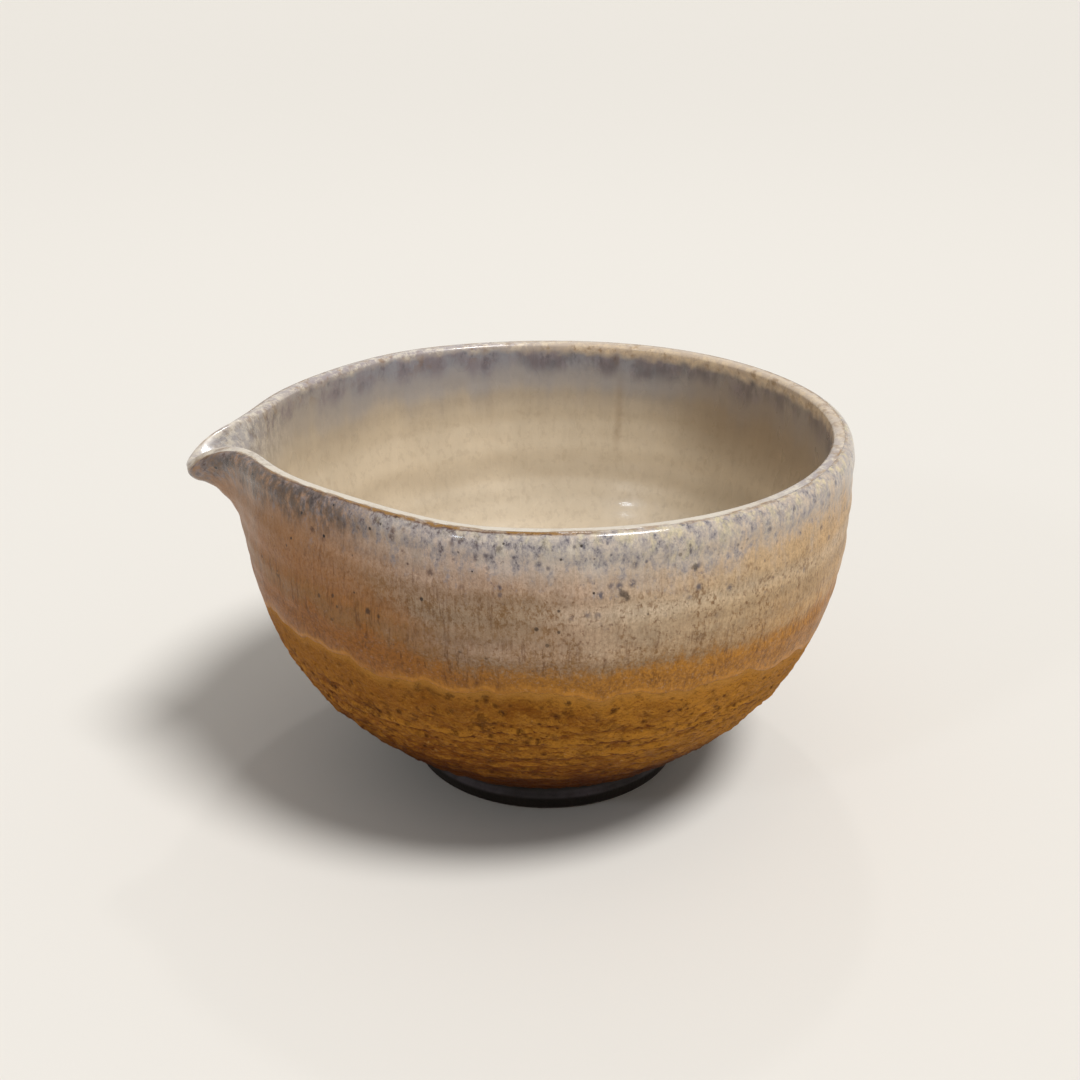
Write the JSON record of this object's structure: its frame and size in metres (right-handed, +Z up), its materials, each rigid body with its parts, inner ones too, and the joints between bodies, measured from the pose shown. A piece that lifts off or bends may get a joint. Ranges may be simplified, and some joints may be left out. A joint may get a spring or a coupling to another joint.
{
  "type": "katakuchi sake pourer",
  "caption": "Round stoneware bowl on a trimmed foot ring, with its rim drawn out into a curled beak for pouring sake.",
  "frame": {"origin": "centre of the foot ring's resting face, on the axis of the bowl", "axes": "+Z up along the axis of the bowl, -X the way the beak pours"},
  "size_m": [0.1398, 0.1298, 0.0791],
  "materials": {
    "body_clay": "bare fired stoneware, matt",
    "foot_clay": "trimmed dark stoneware, matt with a slight sheen",
    "liner": "glossy khaki ash glaze with soft rings",
    "pale_glaze": "semi-gloss pale glaze, mottled blue-grey under the lip",
    "amber_ash": "thin rough amber ash over trimming marks",
    "lip_glaze": "glossy cream over the lip, blue-grey below it"
  },
  "bodies": {
    "root": {"thrown_body": "body_clay", "spout": "body_clay", "foot_ring": "foot_clay", "liner_glaze": "liner", "outer_glaze": "pale_glaze", "ash_glaze": "amber_ash", "spout_glaze": "lip_glaze"}
  },
  "joints": []
}
